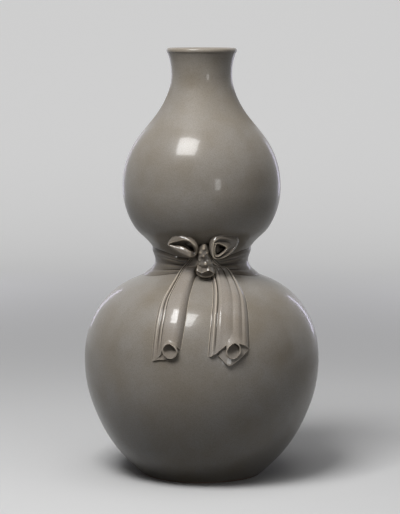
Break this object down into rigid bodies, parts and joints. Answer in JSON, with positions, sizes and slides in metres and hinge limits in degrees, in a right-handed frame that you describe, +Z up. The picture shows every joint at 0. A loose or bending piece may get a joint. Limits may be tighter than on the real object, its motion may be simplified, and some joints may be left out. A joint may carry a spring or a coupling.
{
  "type": "double gourd vase",
  "caption": "Double gourd vase in grey-brown glazed stoneware, with a narrow flared neck and a modelled sash tied in a bow at the waist.",
  "frame": {"origin": "centre of the foot, on the surface that the vase stands on", "axes": "+Z up along the vase's axis; the bow faces -Y, and +X is to the right of someone who faces the bow"},
  "size_m": [0.1768, 0.1784, 0.32],
  "materials": {
    "body_glaze": "gloss grey-brown feldspathic glaze over stoneware, finely speckled, bare at the foot ring",
    "ribbon_glaze": "the same gloss glaze, thinner and browner over the edges of the ribbon"
  },
  "bodies": {
    "root": {"lower_bowl": "body_glaze", "lower_shoulder": "body_glaze", "upper_bowl": "body_glaze", "upper_shoulder": "body_glaze", "neck_and_lip": "body_glaze", "waist_sash": "ribbon_glaze", "bow_knot": "ribbon_glaze", "knot_tongue": "ribbon_glaze", "bow_loop_left": "ribbon_glaze", "bow_loop_right": "ribbon_glaze", "sash_tail_left": "ribbon_glaze", "sash_tail_right": "ribbon_glaze"}
  },
  "joints": []
}
